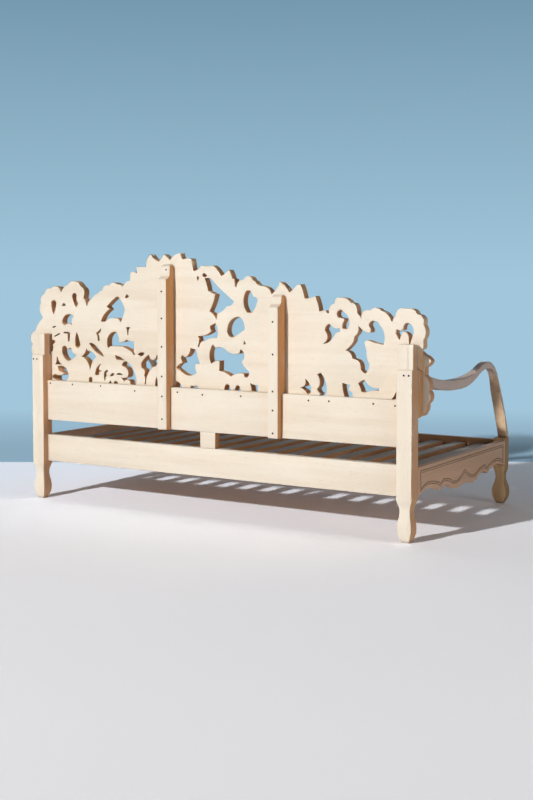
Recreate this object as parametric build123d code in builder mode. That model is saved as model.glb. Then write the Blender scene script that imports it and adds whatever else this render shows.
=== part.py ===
from build123d import *
import os

os.makedirs("parts", exist_ok=True)

# Daybed with a pierced fret back. Millimetres, +Z up, the sitter faces -Y.
# Left and right are those of somebody looking at the front.

# Overall sizes
bed_length = 2032
bed_depth = 1098
fret_overhang = 67
wing_overhang = 37

# Heights above the floor
foot_top = 184
side_apron_top = 305
front_apron_top = 304
seat_rail_top = 313
front_leg_top = 316
board_bottom = 386
fret_bottom = 505
wing_bottom = 512
board_top = 578
post_ledge = 704
post_top = 808
crest_top = 1189

# Rear posts and front legs
post_width = 69
post_depth = 64
cap_back_recess = 12
cap_front_recess = 13
groove_size = 5
groove_right = 0.45
groove_left = 0.68
leg_width = 59
leg_depth = 51
neck_height = 130
swell_height = 57
post_neck = 0.68
post_swell = 0.92
leg_neck = 0.7
leg_swell = 1.17
sole = 0.48

# Back
stile_width = 50
stile_head_heights = {"tall": 67, "short": 53}
stile_head_recess = 30
stile_head_step = 28
stile_side_round = 14
stile_top_round = 20
centre_block_width = 82
board_thickness = 32
fret_thickness = 38
fret_end_overhang = 1
block_inset = 56
block_relief = 5
block_relief_start = 100
block_top_gap = 1
block_top_fall = 12
fret_over_block = 3
wing_thickness = 38
wing_inset = 67

# Seat
rail_thickness = 32
apron_thickness = 28
arm_width = 50
arm_waist = 31
slat_count = 16
slat_width = 62
slat_thickness = 18
slat_top = 281
slat_end_gap = 2
cleat_depth = 28
cleat_height = 25
bearer_width = 30
bearer_height = 40
brace_reach = 100
brace_bottom = 194

# Joints
tenon_length = 20
tenon_thickness = 12
tenon_shoulder = 20
joint_gap = 0.3

# Share of a quarter round's radius at which its middle lies from either end
quarter = 1 - 0.5 ** 0.5

# The frame is centred on the whole daybed: its two ends hang over by different amounts,
# and the swell of the front feet stands out a little in front of the legs.
right_end = (bed_length + wing_overhang - fret_overhang) / 2
back_face = (bed_depth + leg_depth * (leg_swell - 1) / 2) / 2

# Distances into the bed, from the back faces of the rear posts
rail_back = post_depth - rail_thickness
board_back = post_depth - board_thickness
fret_front = post_depth + fret_thickness
wing_front = fret_front + wing_thickness
leg_back = bed_depth - leg_depth
apron_back = bed_depth - apron_thickness
slat_bottom = slat_top - slat_thickness


def from_behind(depth, along=0):
    """Upright plane seen from behind: x runs from the right end, y is the height."""
    origin = (right_end - along, back_face - depth, 0)
    return Plane(origin=origin, x_dir=(-1, 0, 0), z_dir=(0, 1, 0))


def across(along, depth=0):
    """Upright plane across the bed: x runs from the back face, y is the height."""
    origin = (right_end - along, back_face - depth, 0)
    return Plane(origin=origin, x_dir=(0, -1, 0), z_dir=(-1, 0, 0))


def level(height):
    """Level plane: x runs from the right end, y from the back face."""
    return Plane(origin=(right_end, back_face, height), x_dir=(-1, 0, 0), z_dir=(0, 0, 1))


def timber(along, depth, height, mode=Mode.ADD, gap=0):
    """Squared timber between two places along the bed, two into it and two heights."""
    with BuildSketch(level(height[0] - gap)) as section:
        with Locations(((along[0] + along[1]) / 2, (depth[0] + depth[1]) / 2)):
            Rectangle(along[1] - along[0] + 2 * gap, depth[1] - depth[0] + 2 * gap)
    extrude(section.sketch, amount=height[1] - height[0] + 2 * gap, mode=mode)


def trace(points, place=lambda x, z: (x, z)):
    """Closed outline: (x, z) starts a straight side, (x, z, via x, via z) starts an arc."""
    with BuildLine() as line:
        for start, end in zip(points, points[1:] + points[:1]):
            if len(start) == 2:
                Line(place(*start), place(*end[:2]))
            else:
                ThreePointArc(place(*start[:2]), place(*start[2:]), place(*end[:2]))
    return line.edges()


def lay(value, drawn, real):
    """Real place of a drawn value: each drawn station falls on the real one."""
    stations = list(zip(drawn, real))
    for (low, real_low), (high, real_high) in zip(stations, stations[1:]):
        if value <= high:
            break
    return real_low + (value - low) * (real_high - real_low) / (high - low)


def middle(low, high, size):
    """The middle stretch of a given size between two places."""
    return ((low + high - size) / 2, (low + high + size) / 2)


# Stub tenons of the seat frame. Those of the long rails and those of the side aprons
# enter the posts and legs from two sides and stay clear of each other.
tenon_heights = (foot_top + tenon_shoulder, side_apron_top - tenon_shoulder)
back_tenon_depth = middle(rail_back, post_depth, tenon_thickness)
front_tenon_depth = middle(apron_back, bed_depth, tenon_thickness)
side_tenon_along = {
    "right": middle(0, apron_thickness, tenon_thickness),
    "left": middle(bed_length - apron_thickness, bed_length, tenon_thickness),
}


def rail_tenons(corner_width, depth, mode=Mode.ADD, gap=0):
    """The two tenons of a long rail, in posts or legs of the given width."""
    for inner, outer in (
        (corner_width, corner_width - tenon_length),
        (bed_length - corner_width, bed_length - corner_width + tenon_length),
    ):
        timber(sorted((inner, outer)), depth, tenon_heights, mode, gap)


def apron_tenons(name, mode=Mode.ADD, gap=0):
    """The two tenons of one side apron, into the rear post and the front leg."""
    for depth in ((post_depth - tenon_length, post_depth), (leg_back, leg_back + tenon_length)):
        timber(side_tenon_along[name], depth, tenon_heights, mode, gap)


def leg_face(width, top, neck, swell):
    """One face of a leg: straight down to the seat frame, then waisted into a club foot."""
    half = width / 2
    with BuildLine() as line:
        Line((0, 0), (half * sole, 0))
        TangentArc((half * swell, swell_height), (half * sole, 0), tangent=(0, -1))
        for low, high in (
            ((half * swell, swell_height), (half * neck, neck_height)),
            ((half * neck, neck_height), (half, foot_top)),
        ):
            turn = ((low[0] + high[0]) / 2, (low[1] + high[1]) / 2)
            TangentArc(low, turn, tangent=(0, 1))
            TangentArc(high, turn, tangent=(0, -1))
        Line((half, foot_top), (half, top))
        Line((half, top), (0, top))
        mirror(about=Plane.YZ)
    return line.edges()


# Rear posts: the cap above the ledge is set in from both faces of the post and has a
# cut line down its back.
cap_depth = post_depth - cap_back_recess - cap_front_recess
for name, start, groove in (
    ("right", 0, post_width * groove_right),
    ("left", bed_length - post_width, post_width * groove_left),
):
    with BuildPart() as rear_post:
        with BuildSketch(from_behind(0, start + post_width / 2)):
            make_face(leg_face(post_width, post_top, post_neck, post_swell))
        extrude(amount=-post_depth)
        with BuildSketch(across(start, post_depth / 2)):
            make_face(leg_face(post_depth, post_ledge, post_neck, post_swell))
            with Locations(((cap_back_recess - cap_front_recess) / 2, (post_ledge + post_top) / 2)):
                Rectangle(cap_depth, post_top - post_ledge)
        extrude(amount=post_width, mode=Mode.INTERSECT)
        with BuildSketch(level(post_ledge)):
            with Locations((start + groove, cap_back_recess)):
                Rectangle(groove_size, groove_size, rotation=45)
        extrude(amount=post_top - post_ledge, mode=Mode.SUBTRACT)
        rail_tenons(post_width, back_tenon_depth, Mode.SUBTRACT, joint_gap)
        apron_tenons(name, Mode.SUBTRACT, joint_gap)
    rear_post.part.label = f"rear_post_{name}"
    export_step(rear_post.part, f"parts/rear_post_{name}.step")

# Front legs
for name, start in (("right", 0), ("left", bed_length - leg_width)):
    with BuildPart() as front_leg:
        with BuildSketch(from_behind(leg_back + leg_depth / 2, start + leg_width / 2)):
            make_face(leg_face(leg_width, front_leg_top, leg_neck, leg_swell))
        extrude(amount=leg_depth * leg_swell / 2, both=True)
        with BuildSketch(across(start + leg_width / 2, leg_back + leg_depth / 2)):
            make_face(leg_face(leg_depth, front_leg_top, leg_neck, leg_swell))
        extrude(amount=leg_width * leg_swell / 2, both=True, mode=Mode.INTERSECT)
        rail_tenons(leg_width, front_tenon_depth, Mode.SUBTRACT, joint_gap)
        apron_tenons(name, Mode.SUBTRACT, joint_gap)
    front_leg.part.label = f"front_leg_{name}"
    export_step(front_leg.part, f"parts/front_leg_{name}.step")

# Seat back rail
with BuildPart() as seat_back_rail:
    timber(
        (post_width, bed_length - post_width),
        (rail_back, post_depth),
        (foot_top, seat_rail_top),
    )
    rail_tenons(post_width, back_tenon_depth)
seat_back_rail.part.label = "seat_back_rail"
export_step(seat_back_rail.part, "parts/seat_back_rail.step")

# Scalloped lower edge of an apron, drawn from one end to the middle as distances from
# the middle and heights above the top of the feet.
scallops = [
    (491.5, 1, 399, 21), (264.5, -5, 243, 5), (225.5, 10, 205, 9), (150, -8, 92, -22),
    (44, -15, 18, -12), (0, -4),
]


def apron_face(length, top):
    """Apron with one run of scallops, stretched over its length."""
    stretch = length / 2 / scallops[0][0]
    with BuildLine() as line:
        Line((0, top), (length / 2, top))
        Line((length / 2, top), (length / 2, foot_top + scallops[0][1]))
        for start, end in zip(scallops, scallops[1:]):
            ThreePointArc(
                (start[0] * stretch, foot_top + start[1]),
                (start[2] * stretch, foot_top + start[3]),
                (end[0] * stretch, foot_top + end[1]),
            )
        mirror(about=Plane.YZ)
    return line.edges()


# Side aprons
side_length = leg_back - post_depth
for name, start in (("right", 0), ("left", bed_length - apron_thickness)):
    with BuildPart() as side_apron:
        with BuildSketch(across(start, (post_depth + leg_back) / 2)):
            make_face(apron_face(side_length, side_apron_top))
        extrude(amount=apron_thickness)
        apron_tenons(name)
    side_apron.part.label = f"side_apron_{name}"
    export_step(side_apron.part, f"parts/side_apron_{name}.step")

# Front apron: two runs of the same scallops side by side
front_length = bed_length - 2 * leg_width
with BuildPart() as front_apron:
    for centre in (leg_width + front_length / 4, leg_width + front_length * 3 / 4):
        with BuildSketch(from_behind(apron_back, centre)) as run:
            make_face(apron_face(front_length / 2, front_apron_top))
        extrude(amount=-apron_thickness)
    rail_tenons(leg_width, front_tenon_depth)
front_apron.part.label = "front_apron"
export_step(front_apron.part, "parts/front_apron.step")

# Fret back, drawn as seen from behind. The stations of the drawing are the ends of its
# overhangs, of its lower part and of the blocks, and its bottom, board top and crest.
# The crest runs clockwise from the lower right end of the bed.
fret_stations_along = (-67, -3, 56, 1976, 2035, 2099)
fret_stations_up = (505, 578, 1189)
crest = [
    (-3, 505), (-3, 690, -42, 688), (-60, 705, -63, 728), (-54, 752, -67, 785), (-38, 815, -20, 849),
    (5, 875), (13, 886, -8, 922), (0, 955, 3, 984), (25, 998, 38, 1020), (68, 1025, 103, 1037),
    (132, 1005, 150, 1031), (175, 1045, 218, 1062), (258, 1036, 278, 1016), (276, 993),
    (274, 977), (284, 975), (293, 942), (296, 944, 306, 964), (325, 978, 343, 995),
    (360, 1002, 372, 1012), (387, 1016, 397, 1034), (430, 1040, 455, 1055),
    (480, 1047, 497, 1045), (515, 1037, 530, 1055), (557, 1063), (558, 1100, 577, 1105),
    (597, 1098), (595, 1128), (652, 1128, 656, 1160), (678, 1185, 697, 1165), (725, 1152),
    (755, 1185), (788, 1157, 812, 1179), (846, 1189, 850, 1172), (860, 1160, 882, 1165),
    (907, 1163), (917, 1108, 940, 1113), (960, 1132, 990, 1129), (1023, 1132, 1049, 1112),
    (1067, 1085, 1091, 1095), (1110, 1113, 1121, 1094), (1128, 1073), (1140, 1072),
    (1142, 1037), (1151, 1036, 1155, 1051), (1167, 1065), (1190, 1070, 1199, 1081),
    (1217, 1083, 1229, 1076), (1238, 1064), (1248, 1062, 1263, 1046), (1287, 1042, 1314, 1031),
    (1333, 1005, 1357, 1029), (1375, 1060, 1401, 1040), (1422, 1015, 1443, 1029),
    (1460, 1047), (1477, 1049, 1489, 1021), (1497, 988, 1522, 990), (1550, 1000, 1563, 967),
    (1570, 933, 1588, 938), (1602, 938), (1608, 927), (1617, 927, 1621, 955),
    (1643, 968, 1649, 988), (1670, 993, 1702, 988), (1720, 972), (1733, 972, 1746, 957),
    (1750, 930), (1770, 907, 1775, 932), (1790, 942), (1810, 942, 1838, 952),
    (1860, 941, 1890, 925), (1907, 897), (1915, 900, 1917, 910), (1925, 917, 1933, 940),
    (1950, 952), (1993, 951, 2013, 944), (2025, 928, 2049, 917), (2052, 887, 2063, 857),
    (2053, 827), (2053, 797, 2047, 787), (2035, 785), (2035, 505),
]

# Openings of the fret, from the right end of the bed to the left one
openings = [
    # teardrops, commas and leaves of the right-hand scrolls
    [(84, 898, 73, 925), (69, 951, 85, 969), (101, 951, 95, 925)],
    [(150, 957), (137, 942), (163, 943)],
    [(230, 934, 212, 958), (203, 990, 217, 1004), (231, 990, 231, 970), (240, 955)],
    [(138, 866, 165, 899), (210, 892, 197, 866), (202, 848, 187, 856), (172, 857, 156, 850),
     (140, 857)],
    [(73, 835, 86, 842), (100, 843, 88, 836)],
    [(86, 794), (121, 810), (123, 804), (88, 789)],
    [(147, 816), (187, 816), (187, 800), (183, 770), (173, 770), (173, 800), (170, 808),
     (147, 808)],
    [(230, 817, 244, 784), (251, 760, 237, 741), (221, 762, 221, 790)],
    [(137, 733, 152, 748), (167, 730, 181, 737), (193, 738, 204, 716), (228, 707, 205, 688),
     (173, 675, 145, 697)],
    [(60, 716), (60, 805), (72, 805), (72, 775), (92, 773), (90, 760), (76, 752),
     (80, 740, 77, 727), (70, 716)],
    [(101, 695), (108, 690, 115, 671), (136, 657), (90, 655, 101, 673)],
    [(107, 647), (138, 649, 169, 628), (173, 590), (155, 576), (108, 576), (72, 590, 79, 602),
     (93, 608, 122, 603), (152, 614), (115, 625)],
    [(290, 740), (297, 727, 328, 721), (350, 699, 333, 685), (317, 655), (310, 635, 303, 662),
     (273, 697), (257, 699, 277, 714)],
    [(307, 765), (323, 767, 366, 741), (397, 704, 350, 723)],
    [(304, 572), (304, 590, 314, 603), (324, 590), (324, 572)],
    [(380, 838, 377, 822), (363, 812, 370, 793), (370, 778), (360, 777, 358, 800),
     (350, 815, 366, 825)],
    [(380, 870, 400, 904), (432, 928), (417, 942, 445, 967), (473, 987, 484, 988),
     (492, 983, 512, 956), (525, 927, 514, 900), (500, 868, 487, 884), (467, 887, 430, 884),
     (407, 870)],
    [(537, 1001), (549, 992, 540, 984), (526, 984)],
    [(465, 823, 428, 806), (418, 770, 419, 755), (427, 745, 439, 754), (450, 755), (510, 755),
     (540, 743), (567, 730), (573, 717), (588, 720, 576, 731), (578, 745), (577, 780),
     (545, 783), (532, 788, 505, 775), (487, 775, 485, 802), (472, 823)],
    [(532, 845), (557, 847, 546, 830), (545, 810), (540, 808, 538, 828)],
    [(380, 668, 353, 648), (344, 620, 346, 614), (352, 613), (368, 617), (366, 630),
     (386, 634), (366, 638, 369, 654)],
    [(400, 632), (415, 643), (423, 634, 411, 625), (414, 613), (405, 605), (404, 590),
     (399, 590, 398, 612)],
    [(433, 612, 441, 622), (455, 628), (459, 622), (448, 612)],
    [(420, 572), (437, 592), (443, 572)],
    [(456, 582, 468, 589), (480, 582), (476, 572), (460, 572)],
    [(463, 713, 485, 708), (522, 690, 495, 690), (472, 693)],
    [(507, 663, 516, 682), (532, 685, 576, 645), (590, 585), (588, 570), (560, 570),
     (556, 582, 535, 600), (518, 588), (500, 610, 520, 606), (540, 615, 542, 640), (530, 655)],
    [(472, 622, 490, 628), (510, 620, 490, 620)],
    [(600, 720), (617, 712, 631, 717), (638, 728, 618, 730)],
    [(620, 680, 640, 703), (665, 722), (668, 712, 688, 697), (706, 711), (712, 724, 717, 705), (703, 667),
     (687, 665, 670, 648), (648, 605), (646, 585), (638, 583, 643, 606), (636, 625, 638, 648),
     (622, 657)],
    [(700, 570), (703, 602), (709, 620), (713, 600), (713, 570)],
    # the tall middle spray between the stiles
    [(937, 1080), (941, 1086), (950, 1077), (942, 1062)],
    [(968, 1083, 970, 1093), (978, 1098), (994, 1086, 980, 1080)],
    [(980, 1075), (1010, 1076, 1072, 1021), (1137, 972, 1120, 954), (1100, 952, 1078, 931),
     (1050, 917), (1042, 887, 1029, 911), (1005, 926, 1020, 952), (1037, 1003), (998, 1018, 992, 1046)],
    [(1038, 875), (1010, 862, 1010, 848), (1017, 838, 985, 820), (943, 814, 948, 790),
     (940, 765), (950, 765, 957, 785), (980, 793, 1003, 804), (1027, 808), (1047, 808, 1049, 842)],
    [(1167, 905, 1125, 892), (1102, 848, 1103, 830), (1140, 815, 1160, 828),
     (1193, 848, 1188, 880)],
    [(1222, 1022), (1203, 1020, 1187, 975), (1208, 923), (1230, 922, 1248, 947),
     (1260, 973, 1255, 988), (1240, 993)],
    [(822, 665, 838, 683), (858, 690), (848, 712), (855, 726), (870, 715, 888, 727),
     (901, 759), (932, 752, 940, 720), (953, 690), (927, 687, 928, 666), (935, 648, 910, 635),
     (865, 641)],
    [(813, 572), (820, 603, 838, 599), (853, 572)],
    [(893, 572), (908, 589), (920, 584), (935, 590), (950, 572)],
    [(1023, 779, 1006, 738), (1015, 691, 1036, 704), (1060, 706), (1058, 661, 1088, 656),
     (1120, 637, 1145, 651), (1190, 653), (1193, 640), (1205, 636, 1215, 648),
     (1218, 662, 1193, 683), (1177, 707, 1191, 733), (1172, 761), (1166, 744, 1125, 740),
     (1090, 758, 1064, 768), (1037, 764)],
    [(1192, 800), (1200, 785), (1187, 783)],
    [(1083, 572), (1088, 590, 1103, 603), (1115, 590), (1124, 572)],
    [(1135, 572), (1147, 593, 1160, 600), (1168, 590), (1174, 572)],
    [(1222, 615, 1240, 607), (1262, 607), (1263, 572), (1233, 572)],
    # leaves, eyes and the large spray of the left-hand scrolls
    [(1500, 646, 1517, 631), (1529, 612, 1529, 592), (1515, 576, 1499, 595), (1477, 606),
     (1496, 612, 1503, 628)],
    [(1560, 666), (1577, 674, 1604, 626), (1600, 572), (1565, 572), (1578, 585, 1567, 592),
     (1560, 604), (1569, 614, 1573, 642)],
    [(1618, 882), (1630, 873, 1650, 863), (1668, 866), (1670, 850, 1648, 842),
     (1636, 823, 1614, 804), (1587, 797, 1609, 823), (1597, 854, 1604, 873)],
    [(1678, 941, 1656, 930), (1662, 910), (1685, 906), (1692, 900, 1681, 881), (1681, 862),
     (1702, 860, 1713, 893), (1700, 922)],
    [(1757, 877, 1754, 850), (1738, 832), (1733, 810, 1718, 791), (1695, 772, 1718, 762),
     (1728, 740), (1748, 735, 1765, 718), (1768, 693), (1788, 677, 1802, 694),
     (1807, 720, 1796, 745), (1795, 773), (1787, 797, 1788, 812), (1802, 817), (1827, 808),
     (1873, 800, 1877, 838), (1853, 883, 1846, 893), (1833, 897, 1812, 894),
     (1807, 873, 1814, 862), (1812, 850), (1800, 848, 1780, 857)],
    [(1757, 635, 1770, 646), (1785, 652), (1793, 642, 1820, 623), (1852, 620),
     (1853, 610, 1820, 609), (1788, 600), (1773, 602, 1767, 619)],
    [(1682, 635), (1718, 627), (1710, 605), (1727, 597), (1732, 582), (1723, 570),
     (1697, 570, 1686, 600)],
    [(1932, 610), (1929, 572), (1905, 572), (1920, 588)],
    [(1932, 867, 1948, 861), (1962, 867, 1964, 882), (1973, 892), (1988, 892, 2005, 875),
     (2003, 837), (1993, 807), (1988, 807), (1988, 833, 1979, 849), (1958, 857), (1945, 823),
     (1927, 848)],
]


def on_fret(x, z):
    """Place of a drawn point on the fret back of this bed."""
    along = (
        -fret_overhang, -fret_end_overhang, block_inset,
        bed_length - block_inset, bed_length + fret_end_overhang, bed_length + fret_overhang,
    )
    return (
        lay(x, fret_stations_along, along),
        lay(z, fret_stations_up, (fret_bottom, board_top, crest_top)),
    )


# Back stiles, behind solid parts of the fret: a stepped head, set back and rounded at its
# top. Each is placed by a point of the fret's drawing, at the foot of its step.
stile_points = {"tall": (786.5, 1072), "short": (1377.5, 952)}
stiles = {name: on_fret(*point) for name, point in stile_points.items()}
for name, (along, ledge) in stiles.items():
    top = ledge + stile_head_heights[name]
    with BuildPart() as back_stile:
        with BuildSketch(across(along - stile_width / 2)):
            make_face(
                trace(
                    [
                        (0, board_bottom),
                        (
                            0, ledge,
                            stile_head_recess * (1 - quarter), ledge + stile_head_step * quarter,
                        ),
                        (stile_head_recess, ledge + stile_head_step),
                        (
                            stile_head_recess, top - stile_top_round,
                            stile_head_recess + stile_top_round * quarter,
                            top - stile_top_round * quarter,
                        ),
                        (stile_head_recess + stile_top_round, top),
                        (post_depth, top),
                        (post_depth, board_bottom),
                    ]
                )
            )
        extrude(amount=stile_width)
        half = stile_width / 2
        with BuildSketch(from_behind(0, along)):
            with BuildLine() as head:
                Line((0, board_bottom), (half, board_bottom))
                Line((half, board_bottom), (half, top - stile_side_round))
                ThreePointArc(
                    (half, top - stile_side_round),
                    (half - stile_side_round * quarter, top - stile_side_round * quarter),
                    (half - stile_side_round, top),
                )
                Line((half - stile_side_round, top), (0, top))
                mirror(about=Plane.YZ)
            make_face()
        extrude(amount=-post_depth, mode=Mode.INTERSECT)
    back_stile.part.label = f"back_stile_{name}"
    export_step(back_stile.part, f"parts/back_stile_{name}.step")

# Plain back boards between the posts and stiles
tall_at = stiles["tall"][0]
short_at = stiles["short"][0]
for name, along in (
    ("right", (post_width, tall_at - stile_width / 2)),
    ("middle", (tall_at + stile_width / 2, short_at - stile_width / 2)),
    ("left", (short_at + stile_width / 2, bed_length - post_width)),
):
    with BuildPart() as back_board:
        timber(along, (board_back, post_depth), (board_bottom, board_top))
    back_board.part.label = f"back_board_{name}"
    export_step(back_board.part, f"parts/back_board_{name}.step")

# Block that carries the middle board on the seat rail
with BuildPart() as centre_block:
    timber(
        middle(0, bed_length, centre_block_width),
        (board_back, post_depth),
        (seat_rail_top, board_bottom),
    )
centre_block.part.label = "centre_block"
export_step(centre_block.part, "parts/centre_block.step")

# Blocks under both ends of the fret back. Their tops slope down to the front and the
# upper part of their backs is relieved behind the post.
block_top = post_ledge - block_top_gap
block_front_top = block_top - block_top_fall
relieved = post_depth + block_relief
block_section = [
    (post_depth, fret_bottom), (post_depth, fret_bottom + block_relief_start),
    (relieved, fret_bottom + block_relief_start), (relieved, block_top),
    (fret_front, block_front_top), (fret_front, wing_bottom),
]
block_runs = {
    "right": (-fret_end_overhang, block_inset),
    "left": (bed_length - block_inset, bed_length + fret_end_overhang),
}
cutter_margin = 1
block_cutter = [
    (post_depth - cutter_margin, fret_bottom - cutter_margin),
    (post_depth - cutter_margin, block_top + fret_over_block),
    (relieved, block_top + fret_over_block),
    (fret_front, block_front_top + fret_over_block),
    (fret_front + cutter_margin, block_front_top + fret_over_block),
    (fret_front + cutter_margin, fret_bottom - cutter_margin),
]

with BuildPart() as fret_back:
    with BuildSketch(from_behind(post_depth)):
        make_face(trace(crest, on_fret))
        for opening in openings:
            make_face(trace(opening, on_fret), mode=Mode.SUBTRACT)
    extrude(amount=-fret_thickness)
    for low, high in block_runs.values():
        with BuildSketch(across(low)):
            make_face(trace(block_cutter))
        extrude(amount=high - low, mode=Mode.SUBTRACT)
fret_back.part.label = "fret_back"
export_step(fret_back.part, "parts/fret_back.step")

for name, (low, high) in block_runs.items():
    with BuildPart() as arm_block:
        with BuildSketch(across(low)):
            make_face(trace(block_section))
        extrude(amount=high - low)
    arm_block.part.label = f"arm_block_{name}"
    export_step(arm_block.part, f"parts/arm_block_{name}.step")

# End wings in front of the fret: a leaf above the arm and two lobes below it, drawn as
# distances outside the end of the bed and heights. Stations: the inner edge, the end of
# the bed and the outermost lobe, and the bottom and the ledge of the post.
wing_stations_out = (-67, 0, 37)
wing_stations_up = (512, 704)
wing = [
    (-67, 512), (-67, 700, -55, 757), (-15, 778), (4, 763, 22, 754), (37, 738, 27, 722),
    (10, 711), (9, 678, 29, 649), (26, 616, 36, 591), (19, 562, 17, 538), (6, 518), (2, 512),
]
for name, end, outwards in (("right", 0, -1), ("left", bed_length, 1)):
    with BuildPart() as end_wing:
        with BuildSketch(from_behind(fret_front)):
            make_face(
                trace(
                    wing,
                    lambda x, z: (
                        end + outwards * lay(x, wing_stations_out, (-wing_inset, 0, wing_overhang)),
                        lay(z, wing_stations_up, (wing_bottom, post_ledge)),
                    ),
                )
            )
        extrude(amount=-wing_thickness)
    end_wing.part.label = f"end_wing_{name}"
    export_step(end_wing.part, f"parts/end_wing_{name}.step")

# Arms: a long S from the wing forward, then bent down onto the front leg, drawn as
# distances into the bed and heights. Stations: the front of the wing, the start,
# middle and end of the waist and the front of the bed; the top of the leg and the ledge.
arm_stations_in = (140, 560, 790, 980, 1098)
arm_stations_up = (316, 704)
arm_drawn = [
    (140, 679, 310, 645), (485, 635, 608, 642), (720, 671, 775, 689), (830, 694, 903, 667),
    (950, 611, 1034, 462), (1098, 316), (1082, 316, 1031, 434), (965, 568, 920, 632),
    (842, 663, 778, 659), (700, 633, 610, 604), (486, 593, 310, 602), (140, 640),
]


def on_arm(depth, height):
    """Place of a drawn point on the arm of this bed."""
    ends = (arm_stations_in[0], arm_stations_in[-1])
    return (
        lay(depth, ends, (wing_front, bed_depth)),
        lay(height, arm_stations_up, (front_leg_top, post_ledge)),
    )


# Seen from above the inner side of the arm is waisted at its highest part.
waist_from, waist_at, waist_to = (on_arm(station, 0)[0] for station in arm_stations_in[1:4])
for name, end, inwards in (("right", 0, 1), ("left", bed_length, -1)):
    plan = [
        (0, wing_front), (arm_width, wing_front), (arm_width, waist_from, arm_waist, waist_at),
        (arm_width, waist_to), (arm_width, bed_depth), (0, bed_depth),
    ]
    with BuildPart() as arm:
        with BuildSketch(across(min(end, end + inwards * arm_width))):
            make_face(trace(arm_drawn, on_arm))
        extrude(amount=arm_width)
        with BuildSketch(level(front_leg_top)):
            make_face(trace(plan, lambda inset, depth: (end + inwards * inset, depth)))
        extrude(amount=post_ledge - front_leg_top, mode=Mode.INTERSECT)
    arm.part.label = f"arm_{name}"
    export_step(arm.part, f"parts/arm_{name}.step")

# Slats, evenly spaced between the side aprons and held by cleats on the long rails
inner_low = apron_thickness
inner_high = bed_length - apron_thickness
slat_gap = (inner_high - inner_low - slat_count * slat_width) / (slat_count + 1)
for count in range(slat_count):
    low = inner_low + slat_gap + count * (slat_width + slat_gap)
    with BuildPart() as slat:
        timber(
            (low, low + slat_width),
            (post_depth + slat_end_gap, apron_back - slat_end_gap),
            (slat_bottom, slat_top),
        )
    slat.part.label = f"seat_slat_{count + 1:02d}"
    export_step(slat.part, f"parts/seat_slat_{count + 1:02d}.step")

cleat_heights = (slat_bottom - cleat_height, slat_bottom)
for name, along, depth in (
    ("rear", (inner_low, inner_high), (post_depth, post_depth + cleat_depth)),
    ("front", (leg_width, bed_length - leg_width), (apron_back - cleat_depth, apron_back)),
):
    with BuildPart() as cleat:
        timber(along, depth, cleat_heights)
    cleat.part.label = f"slat_cleat_{name}"
    export_step(cleat.part, f"parts/slat_cleat_{name}.step")

with BuildPart() as bearer:
    timber(
        (inner_low, inner_high),
        middle(post_depth, apron_back, bearer_width),
        (slat_bottom - bearer_height, slat_bottom),
    )
bearer.part.label = "seat_bearer"
export_step(bearer.part, "parts/seat_bearer.step")

# Corner braces, glued into the four corners of the seat frame below the cleats
brace_top = slat_bottom - cleat_height
for name, end, inwards in (("right", 0, 1), ("left", bed_length, -1)):
    near = end + inwards * apron_thickness
    far = near + inwards * brace_reach
    leg_side = end + inwards * leg_width
    rear = [(near, post_depth), (far, post_depth), (near, post_depth + brace_reach)]
    front = [
        (near, leg_back - brace_reach), (near, leg_back), (leg_side, leg_back),
        (leg_side, apron_back), (far, apron_back),
    ]
    for place, corners in (("rear", rear), ("front", front)):
        with BuildPart() as brace:
            with BuildSketch(level(brace_bottom)):
                make_face(trace(corners))
            extrude(amount=brace_top - brace_bottom)
        brace.part.label = f"corner_brace_{place}_{name}"
        export_step(brace.part, f"parts/corner_brace_{place}_{name}.step")
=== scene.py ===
import math

import bmesh
import bpy
from mathutils import Matrix, Vector, kdtree
from mathutils.geometry import delaunay_2d_cdt
import numpy as np


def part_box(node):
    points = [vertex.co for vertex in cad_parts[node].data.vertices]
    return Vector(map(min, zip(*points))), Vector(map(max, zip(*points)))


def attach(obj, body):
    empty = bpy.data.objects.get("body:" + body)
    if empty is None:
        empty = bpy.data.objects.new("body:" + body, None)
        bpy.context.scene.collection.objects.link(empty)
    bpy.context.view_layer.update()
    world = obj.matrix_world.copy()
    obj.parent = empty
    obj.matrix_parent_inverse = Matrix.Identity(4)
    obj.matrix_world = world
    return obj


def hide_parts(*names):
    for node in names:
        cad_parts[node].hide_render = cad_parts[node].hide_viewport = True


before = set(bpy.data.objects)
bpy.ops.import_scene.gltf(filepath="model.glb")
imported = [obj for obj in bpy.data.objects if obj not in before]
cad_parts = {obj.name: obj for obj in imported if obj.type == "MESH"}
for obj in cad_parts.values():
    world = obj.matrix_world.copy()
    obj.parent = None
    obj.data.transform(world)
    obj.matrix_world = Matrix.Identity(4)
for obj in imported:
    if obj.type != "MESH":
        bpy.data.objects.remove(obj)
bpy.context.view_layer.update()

MM = 0.001
SAME_PLACE = 0.01 * MM
FLAT_ANGLE, SMOOTH_ANGLE, SHARP_ANGLE = (math.radians(degrees) for degrees in (0.6, 34, 38))
scene = bpy.context.scene

# The daybed is drawn in millimetres: along it from the outer face of the right-hand rear
# post, into it from the back faces of the rear posts, and up from the floor.
post_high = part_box("rear_post_right")[1]
right_end, back_face = post_high.x, post_high.y
BED_LENGTH = 2032


def at(along, depth, height):
    """A drawn place, in metres in the frame of the row."""
    return Vector((right_end - along * MM, back_face - depth * MM, height * MM))


# ---------------------------------------------------------------- nodes and colours


def feed(socket, value):
    """Link an output to a socket, or write a plain value into it."""
    if hasattr(value, "is_output"):
        socket.id_data.links.new(value, socket)
    else:
        socket.default_value = value


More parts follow.
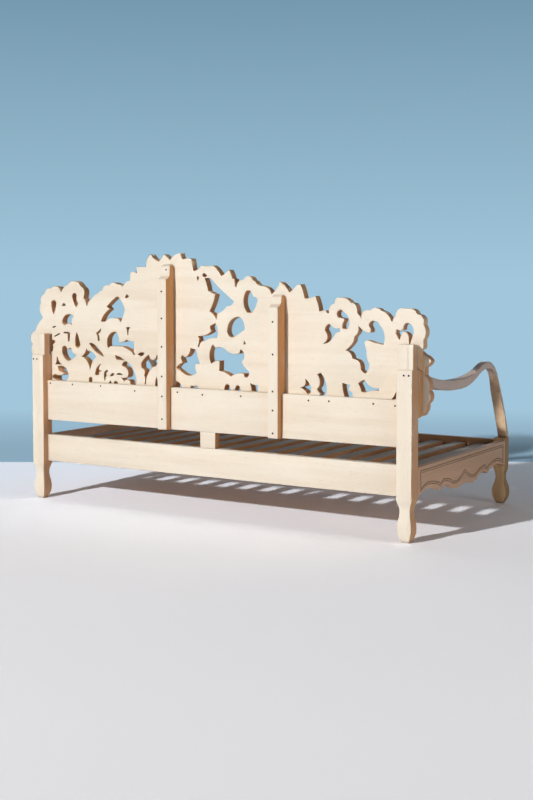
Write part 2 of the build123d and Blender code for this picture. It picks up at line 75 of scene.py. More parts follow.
def node_maker(tree):
    """The function that adds a node to a tree. A key is the name of an input, its number
    after an i, or the name of a setting after an underscore."""

    def node(kind, **values):
        made = tree.nodes.new(kind)
        for key, value in values.items():
            if key[0] == "_":
                setattr(made, key[1:], value)
            elif key[0] == "i" and key[1:].isdigit():
                feed(made.inputs[int(key[1:])], value)
            else:
                feed(made.inputs[key], value)
        return made

    return node


def new_material(name):
    """An empty material and its node maker."""
    material = bpy.data.materials.new(name)
    material.use_nodes = True
    material.node_tree.nodes.clear()
    return material, node_maker(material.node_tree)


def srgb(red, green, blue):
    """Linear colour of an 8-bit sRGB one."""
    return tuple(
        c / 12.92 if c <= 0.04045 else ((c + 0.055) / 1.055) ** 2.4
        for c in (red / 255, green / 255, blue / 255)
    ) + (1.0,)


def times(colour, gain):
    """A colour made darker or lighter, still opaque."""
    return tuple(c * gain for c in colour[:3]) + (1.0,)


def mix(node, share, first, second):
    """The first colour where the share is 0, the second where it is 1."""
    return node("ShaderNodeMix", _data_type="RGBA", i0=share, i6=first, i7=second).outputs[2]


def maths(node, operation, first, second):
    return node("ShaderNodeMath", _operation=operation, i0=first, i1=second).outputs[0]


def ramp(node, value, start, end):
    """0 up to the start and 1 from the end on; the end may be the lower value."""
    made = node("ShaderNodeMapRange", Value=value, **{"From Min": start, "From Max": end})
    return made.outputs[0]


def noise(node, place, scale, **settings):
    return node("ShaderNodeTexNoise", Vector=place, Scale=scale, **settings).outputs["Fac"]


def lay_over(node, shade, colour, value, start, end, share):
    """Lay a colour over a shade: none of it where the value is at the start, and its share
    from the end on."""
    return mix(node, maths(node, "MULTIPLY", ramp(node, value, start, end), share), shade, colour)


# ---------------------------------------------------------------- woods

# Scale of the noise along the fibres.
ALONG_FIBRES = 0.06
STRETCH = {"x": (ALONG_FIBRES, 1, 1), "y": (1, ALONG_FIBRES, 1), "z": (1, 1, ALONG_FIBRES)}
# Painted shade laid into corners and creases.
CORNER_SHADE = srgb(62, 42, 30)


def worn_and_corner_shaded(node, shade, normal, cloud, pale, edge):
    """Worn arrises are paler, and painted shade darkens the corners and creases. Gives the shade
    and the normal with rounded arrises."""
    rounded = node("ShaderNodeBevel", Radius=0.004, _samples=6).outputs[0]
    match = node("ShaderNodeVectorMath", _operation="DOT_PRODUCT", i0=rounded, i1=normal)
    worn = ramp(node, match.outputs["Value"], 0.985, 0.90)
    worn = maths(node, "MULTIPLY", worn, ramp(node, cloud, 0.35, 0.6))
    shade = mix(node, maths(node, "MULTIPLY", worn, 0.35), shade, pale)
    # Painted shade: the corners and creases that the ambient occlusion finds are darkened.
    corner = node("ShaderNodeAmbientOcclusion", Distance=0.02, _samples=6, _only_local=False)
    openness = corner.outputs["AO"]
    shade = lay_over(node, shade, times(edge, 0.35), openness, start=0.75, end=0.3, share=0.4)
    shade = lay_over(node, shade, CORNER_SHADE, openness, start=0.3, end=0.05, share=0.7)
    return shade, rounded


def wood(name, grain, face, front, edge, streak, roughness, planed):
    """Wood with fibres along one axis: its colours are those of the back face, of the front face
    and of the sawn edges. The pale back is partly painted light where the key lamp falls. The
    darker front and edges are partly painted shade and partly stain and end grain. The top of a
    planed piece is as pale as its back, with the same painted light."""
    material, node = new_material(name)
    place = node("ShaderNodeTexCoord").outputs["Object"]
    piece = node("ShaderNodeObjectInfo").outputs["Random"]
    shift = node("ShaderNodeCombineXYZ", X=maths(node, "MULTIPLY", piece, 7.0),
                 Y=maths(node, "MULTIPLY", piece, 3.0), Z=maths(node, "MULTIPLY", piece, 5.0))
    moved = node("ShaderNodeVectorMath", _operation="ADD", i0=place, i1=shift.outputs[0]).outputs[0]
    drawn = node("ShaderNodeMapping", Vector=moved, Scale=STRETCH[grain]).outputs[0]
    figure = noise(node, drawn, 14.0, Detail=3.0, Distortion=0.6)
    fibres = noise(node, drawn, 210.0, Detail=4.0, Roughness=0.6)
    pores = noise(node, drawn, 520.0, Detail=1.0)
    cloud = noise(node, moved, 3.2, Detail=3.0)

    normal = node("ShaderNodeNewGeometry").outputs["Normal"]
    split = node("ShaderNodeSeparateXYZ", Vector=normal).outputs
    # Painted light and shade by facing: backs, and the tops of planed pieces, take the pale colour
    # of lit wood. The other faces take the darker colours of shaded wood, which are partly real end
    # grain and stain.
    facing = maths(node, "MAXIMUM", split["Y"], split["Z"]) if planed else split["Y"]
    painted_lit_share = ramp(node, facing, 0.55, 0.85)
    is_front = ramp(node, split["Y"], -0.45, -0.75)
    base = mix(node, painted_lit_share, mix(node, is_front, edge, front), face)
    dark = mix(node, painted_lit_share, mix(node, is_front, times(edge, 0.7), times(front, 0.7)), streak)
    pale = tuple(min(1, c * 1.12) for c in face[:3]) + (1,)

    shade = lay_over(node, base, dark, figure, start=0.42, end=0.68, share=0.55)
    shade = lay_over(node, shade, dark, fibres, start=0.5, end=0.8, share=0.35)
    shade = lay_over(node, shade, pale, cloud, start=0.52, end=0.75, share=0.35)
    pore = ramp(node, pores, 0.70, 0.74)
    shade = mix(node, maths(node, "MULTIPLY", pore, 0.25), shade, times(edge, 0.45))
    shade, rounded = worn_and_corner_shaded(node, shade, normal, cloud, pale, edge)

    rough = maths(node, "ADD", roughness, maths(node, "MULTIPLY", fibres, 0.16))
    height = maths(node, "ADD", maths(node, "MULTIPLY", fibres, 0.7),
                   maths(node, "MULTIPLY", pore, -0.6))
    bump = node("ShaderNodeBump", Strength=0.25, Distance=0.0012, Height=height, Normal=rounded)
    shader = node("ShaderNodeBsdfPrincipled", Roughness=rough, Normal=bump.outputs[0],
                  **{"Base Color": shade, "Specular IOR Level": 0.3})
    node("ShaderNodeOutputMaterial", Surface=shader.outputs[0])
    return material


PALE, PALE_STREAK = (240, 229, 212), (226, 209, 185)
OILED_STREAK = (162, 128, 98)
# Front colour: partly stain, partly painted shade.
STAIN_AND_SHADE = (206, 176, 148)
# Back face, front face, sawn edges, streaks, roughness, and whether the piece is planed. The pale
# back colours are partly painted light. The darker front and edge colours are partly painted shade
# and partly real stain and end grain.
WOODS = {
    "rear_post": (PALE, STAIN_AND_SHADE, (220, 170, 128), PALE_STREAK, 0.58, True),
    "fret_back": (PALE, STAIN_AND_SHADE, (224, 172, 122), PALE_STREAK, 0.58, False),
    "end_wing": (PALE, STAIN_AND_SHADE, (218, 168, 128), PALE_STREAK, 0.58, False),
    "back": (PALE, STAIN_AND_SHADE, (218, 158, 102), PALE_STREAK, 0.58, True),
    # The front leg's back is paler still: painted light thrown on it from the lit seat and apron.
    "front_leg": ((252, 212, 160), (206, 166, 118), (178, 142, 98), OILED_STREAK, 0.5, False),
    "arm": ((232, 202, 168), (212, 192, 172), (216, 194, 182), OILED_STREAK, 0.5, False),
    "apron": ((196, 146, 106), (208, 172, 142), (224, 182, 150), OILED_STREAK, 0.5, False),
    "seat": ((192, 178, 166), (186, 152, 118), (200, 144, 94), (162, 140, 120), 0.62, True),
}
# The first start that fits a piece's name gives its wood.
WOOD_OF_START = {
    "rear_post": "rear_post", "fret_back": "fret_back", "end_wing": "end_wing",
    "front_leg": "front_leg", "arm_block": "back", "arm_": "arm", "back_": "back",
    "centre_block": "back", "seat_back_rail": "back", "side_apron": "apron",
    "front_apron": "apron", "": "seat",
}
looks = {}


def look_of(name):
    """The wood of a piece, with its fibres along its longest side."""
    kind = next(kind for start, kind in WOOD_OF_START.items() if name.startswith(start))
    low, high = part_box(name)
    grain = max(zip(high - low, "xyz"))[1]
    if (kind, grain) not in looks:
        face, front, edge, streak, roughness, planed = WOODS[kind]
        looks[kind, grain] = wood(f"{kind}_wood_{grain}", grain, srgb(*face), srgb(*front),
                                  srgb(*edge), srgb(*streak), roughness, planed)
    return looks[kind, grain]


# ---------------------------------------------------------------- softened edges

# Millimetres, by the start of a piece's name. Wider ones would run into the mortises of the
# posts and legs, and into each other at the arms' waist.
EDGE_WIDTHS = {
    "rear_post": 3, "front_leg": 3, "arm_left": 3, "arm_right": 3,
    "seat_slat": 2.5, "back_stile": 2.5, "end_wing": 2.5, "fret_back": 1.6,
}
COMMON_WIDTH = 1.8


def smooth_by_angle():
    """Geometry nodes that shade faces smooth up to the angle of a hand-softened edge."""
    tree = bpy.data.node_groups.new("smooth_by_angle", "GeometryNodeTree")
    tree.interface.new_socket("Geometry", in_out="INPUT", socket_type="NodeSocketGeometry")
    tree.interface.new_socket("Geometry", in_out="OUTPUT", socket_type="NodeSocketGeometry")
    node = node_maker(tree)
    angle = node("GeometryNodeInputMeshEdgeAngle").outputs["Unsigned Angle"]
    sharp = node("FunctionNodeCompare", _data_type="FLOAT", _operation="GREATER_THAN",
                 i0=angle, i1=SMOOTH_ANGLE)
    normal = node("GeometryNodeSetMeshNormal", _mode="SHARPNESS",
                  Mesh=node("NodeGroupInput").outputs[0],
                  **{"Remove Custom": True, "Edge Sharpness": sharp.outputs[0]})
    node("NodeGroupOutput", i0=normal.outputs[0])
    return tree


smoothing = smooth_by_angle()


def round_edges(thing, name, limit):
    """Round the edges that the limit picks, as wide as the named piece has them."""
    width = next((w for start, w in EDGE_WIDTHS.items() if name.startswith(start)), COMMON_WIDTH)
    bevel = thing.modifiers.new("soften", "BEVEL")
    bevel.width = width * MM
    bevel.segments = 3 if width > 2.5 else 2
    bevel.limit_method = limit
    bevel.angle_limit = SHARP_ANGLE
    bevel.use_clamp_overlap = False
    bevel.loop_slide = False
    thing.modifiers.new("smooth", "NODES").node_group = smoothing


def soften(thing, name):
    """Round the sharp edges of a sawn piece without changing its mesh."""
    weld = thing.modifiers.new("weld", "WELD")
    weld.merge_threshold = SAME_PLACE
    merge = thing.modifiers.new("merge_flat", "DECIMATE")
    merge.decimate_type = "DISSOLVE"
    merge.angle_limit = FLAT_ANGLE
    round_edges(thing, name, "ANGLE")


for name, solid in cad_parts.items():
    for material_slot in solid.material_slots:
        material_slot.material = look_of(name)
    soften(solid, name)


# ---------------------------------------------------------------- new pieces


def piece_from(name, build, look):
    """A new object from a bmesh, riding on the daybed."""
    mesh = bpy.data.meshes.new(name)
    build.to_mesh(mesh)
    build.free()
    mesh.materials.append(look)
    thing = bpy.data.objects.new(name, mesh)
    scene.collection.objects.link(thing)
    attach(thing, "root")
    return thing


# ---------------------------------------------------------------- screw heads

# Radius and height above the wood, from the rim to the hollow middle of a head.
HEAD_PROFILE = [(4.3, -0.4), (4.3, 0.3), (3.9, 0.55), (3.4, 0.4), (2.9, 0.5)]
HEAD_STEPS = 14
# Half length, half width, floor and top of each bar of the cross. Its upper side is a share
# of its length, and the cross is turned a little.
CROSS_HALF_LENGTH, CROSS_HALF_WIDTH, CROSS_FLOOR, CROSS_TOP = 2.4, 0.5, 0.4, 0.62
CROSS_TAPER, CROSS_TURN = 0.8, 0.5
BACKWARDS = Vector((0, 1, 0))


def screw_steel():
    material, node = new_material("dark_screw_steel")
    stain = noise(node, node("ShaderNodeTexCoord").outputs["Object"], 400.0, Detail=3.0)
    tone = mix(node, stain, srgb(30, 22, 18), srgb(58, 44, 36))
    rough = maths(node, "ADD", 0.4, maths(node, "MULTIPLY", stain, 0.3))
    shader = node("ShaderNodeBsdfPrincipled", Roughness=rough, Metallic=0.2,
                  **{"Base Color": tone, "Specular IOR Level": 0.1})
    node("ShaderNodeOutputMaterial", Surface=shader.outputs[0])
    return material


def head_disc(build, place):
    """Turn the profile round an axis that points backwards, and cap both ends."""
    across = BACKWARDS.orthogonal().normalized()
    third = BACKWARDS.cross(across)
    turns = [math.tau * step / HEAD_STEPS for step in range(HEAD_STEPS)]
    rings = [
        [build.verts.new(place + (across * math.cos(turn) + third * math.sin(turn)) * radius * MM
                         + BACKWARDS * height * MM) for turn in turns]
        for radius, height in HEAD_PROFILE
    ]
    for low, high in zip(rings, rings[1:]):
        for step in range(HEAD_STEPS):
            after = (step + 1) % HEAD_STEPS
            build.faces.new((low[step], low[after], high[after], high[step]))
    build.faces.new(rings[0][::-1])
    build.faces.new(rings[-1])


def cross_bar(build, place, turn):
    """One bar of the cross, shorter at its upper side."""
    run = Vector((math.cos(turn), 0, math.sin(turn)))
    rise = BACKWARDS.cross(run)
    verts = [
        build.verts.new(place + run * a * CROSS_HALF_LENGTH * MM + rise * b * CROSS_HALF_WIDTH * MM
                        + BACKWARDS * height * MM)
        for height in (CROSS_FLOOR, CROSS_TOP)
        for a, b in ((-1, -1), (1, -1), (CROSS_TAPER, 1), (-CROSS_TAPER, 1))
    ]
    sides = [(i, (i + 1) % 4, (i + 1) % 4 + 4, i + 4) for i in range(4)]
    for face in [(3, 2, 1, 0), (4, 5, 6, 7)] + sides:
        build.faces.new([verts[i] for i in face])


# Screws in the backs of the boards, the tall stile, the short stile, the posts and the
# tall stile's thinner head.
BOARD_BACK, STILE_HEAD_BACK = 32, 30
TALL_STILE, SHORT_STILE, STILE_HEAD = 786, 1377, 791
screws = [(along, BOARD_BACK, height) for along, height in (
    (88, 565), (228, 565), (402, 566), (606, 552), (850, 558), (988, 553), (1193, 557),
    (1536, 556), (1635, 558), (1843, 558), (1942, 555),
)]
screws += [(TALL_STILE, 0, height) for height in (1015, 893, 764, 629, 538, 434)]
screws += [(SHORT_STILE, 0, height) for height in (888, 748, 589, 507, 408)]
screws += [(along, 0, 683) for along in (9, 31, 1995, 2017)]
screws += [(STILE_HEAD, STILE_HEAD_BACK, 1114)]
build = bmesh.new()
for screw in screws:
    place = at(*screw)
    head_disc(build, place)
    for turn in (CROSS_TURN, CROSS_TURN + math.pi / 2):
        cross_bar(build, place, turn)
piece_from("screw_heads", build, screw_steel())

# ---------------------------------------------------------------- cut lines of the aprons

# Double cut line round the outer face of an apron, parallel to its scallops, with a bead between
# the two. Each cut is a low strip in a dark colour, which is painted shade standing in for the
# shade inside an incised groove. Places are from the middle of the line and from the floor, for an
# apron whose half length is CUT_RUN.
CUT_LINE = [
    (466, 203), (428, 217), (390, 223), (345, 220), (286, 208), (269, 197), (246, 205),
    (233, 214), (199, 210), (164, 204), (129, 188), (87, 185), (52, 194), (27, 207), (0, 223),
]
CUT_RUN, CUT_TOP, CUT_END, CUT_INSET, CUT_STEP = 491.5, 289, 484, 12, 2
CUT_GAP = 10
CORNER_CUT = 5
LINE_HALF, LINE_PROUD = 1.0, 0.3
BEAD_HALF, BEAD_PROUD = 3.2, 1.4
# Middle of the side aprons, from the back faces of the rear posts.
SIDE_MIDDLE = 555.5
# A strip's foot and side, from the face of the wood, and its shoulder, as shares of its half
# width and of its height.
STRIP_FOOT, STRIP_SIDE = -0.4, 0.1
SHOULDER_OUT, SHOULDER_UP = 0.6, 0.8


def cut_path(run, outwards):
    """Closed path of the cut line; outwards moves it towards the apron's edge."""
    half = [(x * run / CUT_RUN, z) for x, z in CUT_LINE]
    side = CUT_END * run / CUT_RUN - CUT_INSET
    low_corner = half[0][1] - CUT_STEP
    path = [(side, CUT_TOP), (side, low_corner)] + half + [(-x, z) for x, z in half[-2::-1]]
    path += [(-side, low_corner), (-side, CUT_TOP)]
    moved = []
    for i, (x, z) in enumerate(path):
        (px, pz), (nx, nz) = path[i - 1], path[(i + 1) % len(path)]
        a = Vector((x - px, z - pz)).normalized()
        b = Vector((nx - x, nz - z)).normalized()
        normal = Vector((a.y + b.y, -a.x - b.x)).normalized()
        stretch = 1 / max(0.5, normal.dot(Vector((a.y, -a.x))))
        moved.append((x + normal.x * outwards * stretch, z + normal.y * outwards * stretch))
    return moved


def round_corners(path, steps=3):
    """Cut each corner of a closed path into a short curve."""
    done = []
    for i in range(len(path)):
        before, here, after = (Vector(path[(i + k) % len(path)]) for k in (-1, 0, 1))
        a, b = (here + (end - here) * min(0.3, CORNER_CUT / (end - here).length)
                for end in (before, after))
        done += [a.lerp(here, t).lerp(here.lerp(b, t), t)
                 for t in (step / steps for step in range(steps + 1))]
    return done


def strip(build, path, lay, half, proud):
    """Low rounded strip along a closed path, with its foot just inside the wood."""
    shoulder = half * SHOULDER_OUT, proud * SHOULDER_UP
    rising = [(-half, STRIP_FOOT), (-half, STRIP_SIDE), (-shoulder[0], shoulder[1])]
    section = rising + [(0, proud), shoulder, (half, STRIP_SIDE), (half, STRIP_FOOT)]
    rings = []
    for i, here in enumerate(path):
        run = (path[(i + 1) % len(path)] - path[i - 1]).normalized()
        normal = Vector((run.y, -run.x))
        rings.append([build.verts.new(lay(*(here + normal * a), b)) for a, b in section])
    for low, high in zip(rings, rings[1:] + rings[:1]):
        for i in range(len(section)):
            j = (i + 1) % len(section)
            build.faces.new((low[i], low[j], high[j], high[i]))


def on_side(outer_face, outwards):
    """A function that lays a place, and its height above the wood, on a side apron's face."""
    return lambda x, z, above: at(outer_face + outwards * above, SIDE_MIDDLE + x, z)


def on_front(middle):
    """The same for the front apron, round a middle along it."""
    return lambda x, z, above: at(middle + x, front_face + above, z)


leg_low, leg_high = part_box("front_leg_right")
leg_width = round((leg_high.x - leg_low.x) / MM)
front_face = (back_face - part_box("front_apron")[0].y) / MM
front_run = (BED_LENGTH - 2 * leg_width) / 4
aprons = [(CUT_RUN, on_side(BED_LENGTH, 1)), (CUT_RUN, on_side(0, -1))]
aprons += [(front_run, on_front(leg_width + front_run * quarters)) for quarters in (1, 3)]


def apron_strips(name, look, offsets, half, proud):
    """The same strip on the outer faces of both side aprons and, twice, of the front apron."""
    build = bmesh.new()
    for run, lay in aprons:
        for offset in offsets:
            strip(build, round_corners(cut_path(run, offset)), lay, half, proud)
    bmesh.ops.recalc_face_normals(build, faces=build.faces)
    piece_from(name, build, look)


# Painted shade: the cut lines are dark strips that stand for the shade in the grooves.
painted_groove_shade = wood("painted_groove_shade_wood", "y", *[srgb(84, 60, 44)] * 3, srgb(60, 42, 30), 0.7, False)
apron_strips("apron_cut_lines", painted_groove_shade, (0, CUT_GAP), LINE_HALF, LINE_PROUD)
apron_strips("apron_beads", look_of("side_apron_left"), (CUT_GAP / 2,), BEAD_HALF, BEAD_PROUD)

# ---------------------------------------------------------------- carved boards

# Shallow relief on the hidden show side of the fret and of the end wings: a groove follows
# every outline, and the leaves are hollowed behind it. Distances are from the outline.
GROOVE_AT, GROOVE_WIDTH, GROOVE_DEPTH = 13, 4, 8
HOLLOW_AT, HOLLOW_WIDTH, HOLLOW_DEPTH = 34, 10, 7
# Grid of the carved face: its pitch, and a shift that keeps it off the outline's corners. It
# is fine near the groove, middling at the hollow and coarse beyond.
GRID_PITCH, GRID_SHIFT = 4, (0.37, 0.41)
FINE_WITHIN = GROOVE_AT + 3 * GROOVE_WIDTH
MIDDLING_WITHIN = HOLLOW_AT + 2.5 * HOLLOW_WIDTH
CLEAR_OF_OUTLINE = 0.4 * GRID_PITCH
# Distance between the places on the outline that distances are measured to.
SAMPLE_PITCH = 2


def sink(distance):
    """How far the carved face lies below the sawn one."""
    return sum(depth * math.exp(-((distance - middle) / width) ** 2) for middle, width, depth in (
        (GROOVE_AT, GROOVE_WIDTH, GROOVE_DEPTH), (HOLLOW_AT, HOLLOW_WIDTH, HOLLOW_DEPTH)))


def inside(points, outline):
    """Even-odd test of each point against the outline and the openings."""
    found = np.zeros(len(points), bool)
    for ax, az, bx, bz in outline:
        crossed = (az > points[:, 1]) != (bz > points[:, 1])
        if az != bz:
            found ^= crossed & (points[:, 0] < ax + (points[:, 1] - az) * (bx - ax) / (bz - az))
    return found


def distance_to(outline):
    """A function for the distance from a place to the outline."""
    samples = [
        (ax + (bx - ax) * t, az + (bz - az) * t)
        for ax, az, bx, bz in outline
        for t in np.linspace(0, 1, 2 + int(math.hypot(bx - ax, bz - az) / SAMPLE_PITCH))
    ]
    tree = kdtree.KDTree(len(samples))
    for i, (x, z) in enumerate(samples):
        tree.insert((x, z, 0), i)
    tree.balance()
    return lambda x, z: tree.find((x, z, 0))[2]


def spacing_at(row, column):
    """The widest of three grids, of 4, 2 and 1 steps, that has a place here."""
    return next(steps for steps in (4, 2, 1) if row % steps == 0 and column % steps == 0)


def graded_grid(flat, outline, distance):
    """Grid places inside the outline: all of them at the groove, every second one at the
    hollow, and every fourth one on the flat."""
    low, high = np.min(flat, axis=0), np.max(flat, axis=0)
    xs, zs = np.meshgrid(*(np.arange(low[i], high[i], GRID_PITCH) for i in (0, 1)))
    points = np.column_stack([xs.ravel(), zs.ravel()]) + GRID_SHIFT
    spacing = np.array([spacing_at(row, column) for row, column in np.ndindex(xs.shape)])
    keep = inside(points, outline)
    grid = []
    for (x, z), step in zip(points[keep], spacing[keep]):
        gap = distance(x, z)
        needed = 1 if gap < FINE_WITHIN else 2 if gap < MIDDLING_WITHIN else 4
        if gap > CLEAR_OF_OUTLINE and step >= needed:
            grid.append(Vector((x, z)))
    return grid


def carve(build, front, rim, edges):
    """Fill the front inside its rim with a carved face. The rim stays where it was."""
    flat = [(vert.co.x / MM, vert.co.z / MM) for vert in rim]
    outline = np.array([flat[a] + flat[b] for a, b in edges])
    distance = distance_to(outline)
    grid = graded_grid(flat, outline, distance)
    places, _, faces, origin, _, _ = delaunay_2d_cdt(
        [Vector(place) for place in flat] + grid, edges, [], 0, 1e-4)
    verts = []
    for place, parents in zip(places, origin):
        if parents and parents[0] < len(rim):
            verts.append(rim[parents[0]])
        else:
            depth = sink(distance(place.x, place.y))
            verts.append(build.verts.new((place.x * MM, front + depth * MM, place.y * MM)))
    middles = [(sum((places[i] for i in face), Vector((0, 0))) / 3)[:] for face in faces]
    for face, is_wood in zip(faces, inside(np.array(middles), outline)):
        corners = [verts[i] for i in face]
        if is_wood and len(set(corners)) == 3 and not build.faces.get(corners):
            build.faces.new(corners)


def relief(name):
    """Replace a board by a copy of it whose front face is carved. Its other sharp edges are
    rounded, and the outline of the front stays sharp."""
    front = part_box(name)[0].y
    build = bmesh.new()
    build.from_mesh(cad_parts[name].data)
    bmesh.ops.remove_doubles(build, verts=build.verts, dist=SAME_PLACE)
    bmesh.ops.dissolve_limit(build, verts=build.verts, edges=build.edges, angle_limit=FLAT_ANGLE)
    weight = build.edges.layers.float.new("bevel_weight_edge")
    sawn = dict.fromkeys(
        face for face in build.faces if all(abs(v.co.y - front) < SAME_PLACE for v in face.verts))
    bounds = [edge for edge in build.edges if sum(face in sawn for face in edge.link_faces) == 1]
    for edge in set(build.edges) - set(bounds):
        edge[weight] = len(edge.link_faces) == 2 and edge.calc_face_angle() > SHARP_ANGLE
    rim = list(dict.fromkeys(vert for edge in bounds for vert in edge.verts))
    number = {vert: i for i, vert in enumerate(rim)}
    edges = [(number[edge.verts[0]], number[edge.verts[1]]) for edge in bounds]
    bmesh.ops.delete(build, geom=list(sawn), context="FACES_ONLY")
    carve(build, front, rim, edges)
    loose = [vert for vert in build.verts if not vert.link_faces]
    bmesh.ops.delete(build, geom=loose, context="VERTS")
    bmesh.ops.recalc_face_normals(build, faces=build.faces)
    thing = piece_from(f"{name}_carved", build, look_of(name))
    round_edges(thing, name, "WEIGHT")
    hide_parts(name)


for name in ("fret_back", "end_wing_left", "end_wing_right"):
    relief(name)

# ---------------------------------------------------------------- view

FOCAL_PX, CENTRE_Y_PX, PICTURE_HEIGHT_PX = 1213.8, 346.29, 800
SENSOR_WIDTH = 36
eye = Vector((-3.0865, 4.9782, 1.0651))
YAW, TILT = -0.5544, -0.0542
ahead = Vector((-math.sin(YAW), -math.cos(YAW), 0))
forward = ahead * math.cos(TILT) + Vector((0, 0, math.sin(TILT)))
side = forward.cross(Vector((0, 0, 1))).normalized()
up = side.cross(forward)
camera_data = bpy.data.cameras.new("camera")
camera_data.sensor_fit = "AUTO"
camera_data.sensor_width = SENSOR_WIDTH
camera_data.lens = FOCAL_PX * SENSOR_WIDTH / PICTURE_HEIGHT_PX
camera_data.shift_y = (CENTRE_Y_PX - PICTURE_HEIGHT_PX / 2) / PICTURE_HEIGHT_PX
camera = bpy.data.objects.new("camera", camera_data)
camera.matrix_world = Matrix((
    (side.x, up.x, -forward.x, eye.x),
    (side.y, up.y, -forward.y, eye.y),
    (side.z, up.z, -forward.z, eye.z),
    (0, 0, 0, 1),
))
scene.collection.objects.link(camera)
scene.camera = camera
scene.view_settings.view_transform = "Standard"

# ---------------------------------------------------------------- floor, backdrop and world

PALE_FLOOR, PALE_BLUE = srgb(248, 248, 252), srgb(172, 208, 232)
FLOOR_GAIN, BLUE_GAIN = 1.35, 1.42
# Plain colours far off; the seen world darkens towards HIGH_BLUE higher up, which is painted shade
# of a wall.
FAR_FLOOR, FAR_BLUE, HIGH_BLUE = srgb(222, 224, 229), srgb(162, 198, 219), srgb(110, 146, 168)
# Colour that the stage throws back at the object, and the share and depth of its specks.
THROWN = srgb(240, 240, 243)
SPECKS, SPECK_GAIN = 0.04, 0.9
# Near the camera the floor is darker, and towards the backdrop it is brighter and bluer with
# painted blue light thrown from the backdrop, over these stretches in metres past the line where
# the backdrop begins.
NEAR_GAIN, NEAR_STRETCH = 0.92, (-6.0, -4.2)
BACK_GAIN, BACK_TINT, BACK_STRETCH = 1.28, (0.94, 1.02, 1.11), (-2.3, 0.0)
# The floor turns plain at this distance from the daybed, and the backdrop past the line.
FLOOR_FADE, BLUE_FADE = (4.5, 8.0), (0.6, 2.9)
# That line is square to the view, this far ahead of the eye.
TO_BACKDROP = 7.08
meet = Vector((eye.x, eye.y, 0)) + ahead * TO_BACKDROP


def seen_ray(node):
    """1 for a ray of the camera, or one that something glossy or clear sends on."""
    rays = node("ShaderNodeLightPath").outputs
    sent_on = maths(node, "MAXIMUM", rays["Is Glossy Ray"], rays["Is Transmission Ray"])
    return maths(node, "MAXIMUM", rays["Is Camera Ray"], sent_on)


def speckled(node, place, colour):
    share = maths(node, "MULTIPLY", noise(node, place, 3.0, Detail=4.0), SPECKS)
    return mix(node, share, colour, times(colour, SPECK_GAIN))


def past_line(node, place):
    """Metres past the line where the backdrop begins, below zero on the floor."""
    reach = node("ShaderNodeVectorMath", _operation="DOT_PRODUCT", i0=place, i1=ahead)
    return maths(node, "SUBTRACT", reach.outputs["Value"], meet.dot(ahead))


def finish_stage(node, paint, plain, far):
    """Matt paint: its own colour is only seen, and turns into one plain colour far off."""
    seen = seen_ray(node)
    matt = node("ShaderNodeBsdfDiffuse", Color=mix(node, seen, THROWN, paint)).outputs[0]
    flat = node("ShaderNodeEmission", Color=plain).outputs[0]
    share = maths(node, "MULTIPLY", far, seen)
    surface = node("ShaderNodeMixShader", i0=share, i1=matt, i2=flat).outputs[0]
    node("ShaderNodeOutputMaterial", Surface=surface)


def floor_paint():
    material, node = new_material("pale_floor")
    place = node("ShaderNodeTexCoord").outputs["Object"]
    past = past_line(node, place)
    colour = times(PALE_FLOOR, FLOOR_GAIN)
    # Painted blue light from the backdrop, brighter towards it.
    blue = tuple(c * tint * BACK_GAIN for c, tint in zip(colour, BACK_TINT)) + (1,)
    paint = mix(node, ramp(node, past, *NEAR_STRETCH), times(colour, NEAR_GAIN),
                speckled(node, place, colour))
    paint = mix(node, ramp(node, past, *BACK_STRETCH), paint, blue)
    away = node("ShaderNodeVectorMath", _operation="LENGTH", i0=place).outputs["Value"]
    finish_stage(node, paint, FAR_FLOOR, ramp(node, away, *FLOOR_FADE))
    return material


def backdrop_paint():
    material, node = new_material("pale_blue")
    place = node("ShaderNodeTexCoord").outputs["Object"]
    paint = speckled(node, place, times(PALE_BLUE, BLUE_GAIN))
    finish_stage(node, paint, FAR_BLUE, ramp(node, past_line(node, place), *BLUE_FADE))
    return material


def sheet(name, half_width, reach, material):
    """Flat ground in metres, from the line where the backdrop begins, ahead by the reach."""
    across = ahead.cross(Vector((0, 0, 1))) * half_width
    far = ahead * reach
    corners = [meet - across, meet + across, meet + across + far, meet - across + far]
    mesh = bpy.data.meshes.new(name)
    mesh.from_pydata(corners, [], [(0, 1, 2, 3)])
    mesh.materials.append(material)
    thing = bpy.data.objects.new(name, mesh)
    scene.collection.objects.link(thing)


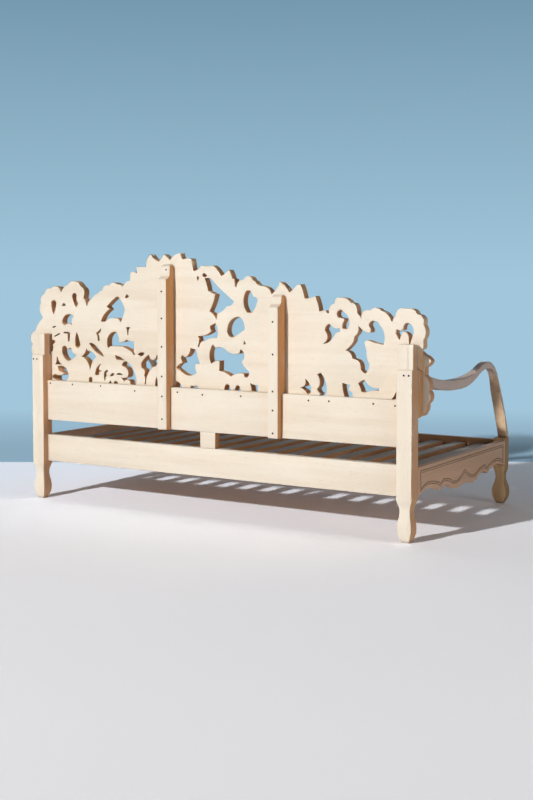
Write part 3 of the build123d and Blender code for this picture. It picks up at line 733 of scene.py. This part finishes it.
sheet("floor", half_width=40, reach=-40, material=floor_paint())
sheet("backdrop", half_width=60, reach=90, material=backdrop_paint())

world = bpy.data.worlds.new("studio")
scene.world = world
world.use_nodes = True
world.node_tree.nodes.clear()
node = node_maker(world.node_tree)
upwards = node("ShaderNodeSeparateXYZ", Vector=node("ShaderNodeTexCoord").outputs["Generated"])
# Seen backdrop colour, darker higher up: painted shade of a wall.
painted_wall_shade = mix(node, ramp(node, upwards.outputs["Z"], 0.0, 0.25), FAR_BLUE, HIGH_BLUE)
lit = node("ShaderNodeBackground", Color=(0.95, 0.985, 1.0, 1), Strength=0.085)
shown = node("ShaderNodeBackground", Color=painted_wall_shade)
blend = node("ShaderNodeMixShader", i0=seen_ray(node), i1=lit.outputs[0], i2=shown.outputs[0])
node("ShaderNodeOutputWorld", Surface=blend.outputs[0])

# ---------------------------------------------------------------- lamps

AIM = Vector((0, 0, 0.5))
WHITE, WARM_WHITE = (1, 1, 1), (1, 0.99, 0.98)


def lamp(name, kind, place, energy, colour):
    """A lamp aimed at the seat."""
    data = bpy.data.lights.new(name, kind)
    data.energy = energy
    data.color = colour
    thing = bpy.data.objects.new(name, data)
    thing.location = place
    thing.rotation_euler = (AIM - Vector(place)).to_track_quat("-Z", "Y").to_euler()
    scene.collection.objects.link(thing)
    return data


def even_lamp(name, place, energy, radius, colour):
    """A small round lamp that is equally strong at every distance."""
    data = lamp(name, "POINT", place, energy, colour)
    data.shadow_soft_size = radius
    data.use_nodes = True
    falloff = data.node_tree.nodes.new("ShaderNodeLightFalloff")
    falloff.inputs["Strength"].default_value = 1.0
    feed(data.node_tree.nodes["Emission"].inputs["Strength"], falloff.outputs["Constant"])


def wide_lamp(name, place, energy, size):
    """A large square lamp that fills the shadows."""
    data = lamp(name, "AREA", place, energy, WHITE)
    data.size = size


even_lamp("key", (1.242, 7.563, 3.541), energy=32.4, radius=0.13, colour=WARM_WHITE)
wide_lamp("side_fill", (-7.0, 1.5, 1.1), energy=82, size=3)
wide_lamp("front_fill", (1.5, -7.0, 2.2), energy=78, size=7)
